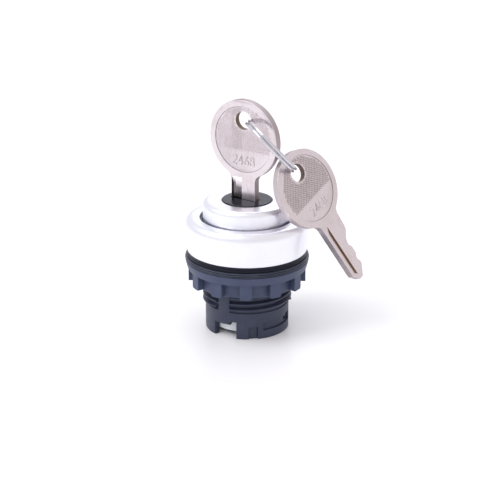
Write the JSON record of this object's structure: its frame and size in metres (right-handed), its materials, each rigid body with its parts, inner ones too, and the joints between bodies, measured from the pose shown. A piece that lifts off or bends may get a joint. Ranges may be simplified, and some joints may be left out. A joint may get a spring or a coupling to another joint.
{
  "type": "selector key switch",
  "caption": "Key operated selector actuator for a round panel hole, with bezel, gasket, lug nut, bayonet barrel and two keys on a split ring.",
  "frame": {"origin": "on the lock's axis in the panel's front face, where the gasket meets it", "axes": "+Z along the lock's axis towards the key, -Y towards the front of the barrel's notch and recess side, +X to its right"},
  "size_m": [0.0428, 0.0298, 0.0564],
  "materials": {
    "black_plastic": "fine moulded satin",
    "satin_chrome": "satin",
    "black_rubber": "matt",
    "zinc": "die cast",
    "spring_steel": "drawn wire",
    "bright_steel": "bright",
    "brass": "turned",
    "black_gloss": "gloss",
    "natural_plastic": "natural moulded",
    "nickel_silver": "stamped, tumbled",
    "slate_plastic": "fine moulded satin"
  },
  "bodies": {
    "housing": {"base_body": "black_plastic", "bezel_ring": "satin_chrome", "collar": "satin_chrome", "collar_seal": "black_rubber", "lock_barrel": "zinc", "guide_bridge": "black_plastic", "plunger_spring_1": "spring_steel", "plunger_spring_2": "spring_steel"},
    "plug": {"lock_plug": "brass", "plug_face": "black_gloss", "rotor_cam": "natural_plastic", "cam_screw": "spring_steel", "plug_clip": "spring_steel", "detent_ball": "spring_steel", "detent_spring": "spring_steel", "wafer_springs": "spring_steel"},
    "key": {"key_inserted": "nickel_silver"},
    "ring": {"split_ring": "bright_steel"},
    "spare": {"spare_key": "nickel_silver"},
    "gasket_carrier": {"gasket": "black_rubber"},
    "nut": {"lock_nut": "slate_plastic"},
    "plunger_a": {"plunger_1": "natural_plastic"},
    "plunger_b": {"plunger_2": "natural_plastic"},
    "wafer_body_1": {"wafer_1": "brass"},
    "wafer_body_2": {"wafer_2": "brass"},
    "wafer_body_3": {"wafer_3": "brass"},
    "wafer_body_4": {"wafer_4": "brass"},
    "wafer_body_5": {"wafer_5": "brass"}
  },
  "joints": [
    {"name": "key_turn", "type": "hinge", "parent": "housing", "child": "plug", "pos_m": [0, 0, 0], "axis": [0, 0, -1], "range_deg": [0, 60]},
    {"name": "key_withdraw", "type": "slide", "parent": "plug", "child": "key", "axis": [0, 0, 1], "range_m": [0, 0.016]},
    {"name": "ring_swing", "type": "hinge", "parent": "key", "child": "ring", "pos_m": [-0.00045, 0.00031, 0.03415], "axis": [-0.57, -0.8216, 0], "range_deg": [0, 60]},
    {"name": "spare_key_swing", "type": "hinge", "parent": "ring", "child": "spare", "pos_m": [0.01144, -0.00318, 0.02223], "axis": [0.6399, -0.6639, 0.3869], "range_deg": [0, 45]},
    {"name": "nut_travel", "type": "slide", "parent": "housing", "child": "gasket_carrier", "axis": [0, 0, -1], "range_m": [0, 0.006]},
    {"name": "nut_turn", "type": "hinge", "parent": "gasket_carrier", "child": "nut", "pos_m": [0, 0, 0], "axis": [0, 0, -1], "range_deg": [0, 1438]},
    {"name": "plunger_a_push", "type": "slide", "parent": "housing", "child": "plunger_a", "axis": [0, 0, -1], "range_m": [0, 0.0031], "deforming": ["plunger_spring_1"]},
    {"name": "plunger_b_push", "type": "slide", "parent": "housing", "child": "plunger_b", "axis": [0, 0, -1], "range_m": [0, 0.0031], "deforming": ["plunger_spring_2"]},
    {"name": "wafer_1_slide", "type": "slide", "parent": "plug", "child": "wafer_body_1", "axis": [0.8216, -0.57, 0], "range_m": [0, 0.00112], "deforming": ["wafer_springs"]},
    {"name": "wafer_2_slide", "type": "slide", "parent": "plug", "child": "wafer_body_2", "axis": [0.8216, -0.57, 0], "range_m": [0, 0.00112]},
    {"name": "wafer_3_slide", "type": "slide", "parent": "plug", "child": "wafer_body_3", "axis": [0.8216, -0.57, 0], "range_m": [0, 0.00112]},
    {"name": "wafer_4_slide", "type": "slide", "parent": "plug", "child": "wafer_body_4", "axis": [0.8216, -0.57, 0], "range_m": [0, 0.00112]},
    {"name": "wafer_5_slide", "type": "slide", "parent": "plug", "child": "wafer_body_5", "axis": [0.8216, -0.57, 0], "range_m": [0, 0.00112]}
  ],
  "couplings": [
    {"joint": "plunger_a_push", "follows": "key_turn", "m_per_rad": 0.0028648},
    {"joint": "plunger_b_push", "follows": "key_turn", "m_per_rad": 0.0028648},
    {"joint": "nut_travel", "follows": "nut_turn", "m_per_rad": 0.00023873},
    {"joint": "wafer_1_slide", "follows": "key_withdraw", "ratio": 0.06875},
    {"joint": "wafer_2_slide", "follows": "key_withdraw", "ratio": 0.06875},
    {"joint": "wafer_3_slide", "follows": "key_withdraw", "ratio": 0.06875},
    {"joint": "wafer_4_slide", "follows": "key_withdraw", "ratio": 0.06875},
    {"joint": "wafer_5_slide", "follows": "key_withdraw", "ratio": 0.06875}
  ]
}
